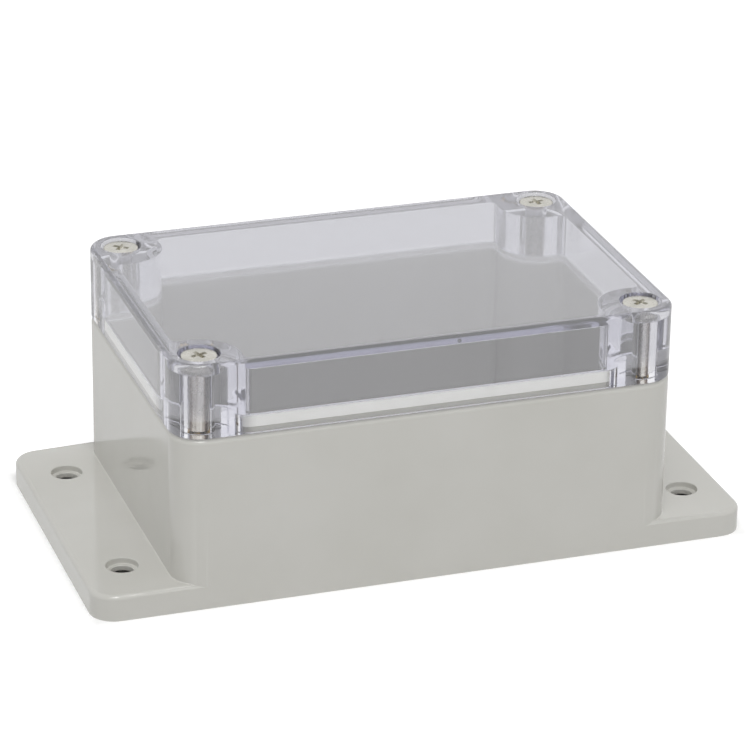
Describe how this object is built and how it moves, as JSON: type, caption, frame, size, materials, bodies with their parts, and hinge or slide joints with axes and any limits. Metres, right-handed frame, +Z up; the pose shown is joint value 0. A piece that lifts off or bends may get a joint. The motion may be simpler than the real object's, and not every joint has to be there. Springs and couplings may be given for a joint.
{
  "type": "electrical distribution box",
  "caption": "Low rectangular enclosure: grey base with a holed mounting flange at each end, and a clear lid sealed by a gasket and held by corner screws.",
  "frame": {"origin": "middle of the base's underside, on the surface that the box stands on", "axes": "+X along the length from left flange to right flange, +Y from the front face to the back face, +Z up through the lid"},
  "size_m": [0.132, 0.068, 0.05],
  "materials": {
    "grey_abs": "moulded, semi-gloss",
    "clear_polycarbonate": "moulded, clear and glossy",
    "white_seal": "soft, matt",
    "screw_steel": "zinc plated, pale yellow passivated",
    "insert_brass": "turned and knurled"
  },
  "bodies": {
    "base_body": {"base": "grey_abs", "insert_front_left": "insert_brass", "insert_front_right": "insert_brass", "insert_back_left": "insert_brass", "insert_back_right": "insert_brass"},
    "lid_body": {"lid": "clear_polycarbonate", "gasket": "white_seal"},
    "screw_front_left_body": {"screw_front_left": "screw_steel"},
    "screw_front_right_body": {"screw_front_right": "screw_steel"},
    "screw_back_left_body": {"screw_back_left": "screw_steel"},
    "screw_back_right_body": {"screw_back_right": "screw_steel"}
  },
  "joints": [
    {"name": "lid_lift", "type": "slide", "parent": "base_body", "child": "lid_body", "axis": [0, 0, 1], "range_m": [0, 0.06]},
    {"name": "screw_front_left_withdraw", "type": "slide", "parent": "lid_body", "child": "screw_front_left_body", "axis": [0, 0, 1], "range_m": [0, 0.024]},
    {"name": "screw_front_right_withdraw", "type": "slide", "parent": "lid_body", "child": "screw_front_right_body", "axis": [0, 0, 1], "range_m": [0, 0.024]},
    {"name": "screw_back_left_withdraw", "type": "slide", "parent": "lid_body", "child": "screw_back_left_body", "axis": [0, 0, 1], "range_m": [0, 0.024]},
    {"name": "screw_back_right_withdraw", "type": "slide", "parent": "lid_body", "child": "screw_back_right_body", "axis": [0, 0, 1], "range_m": [0, 0.024]}
  ]
}
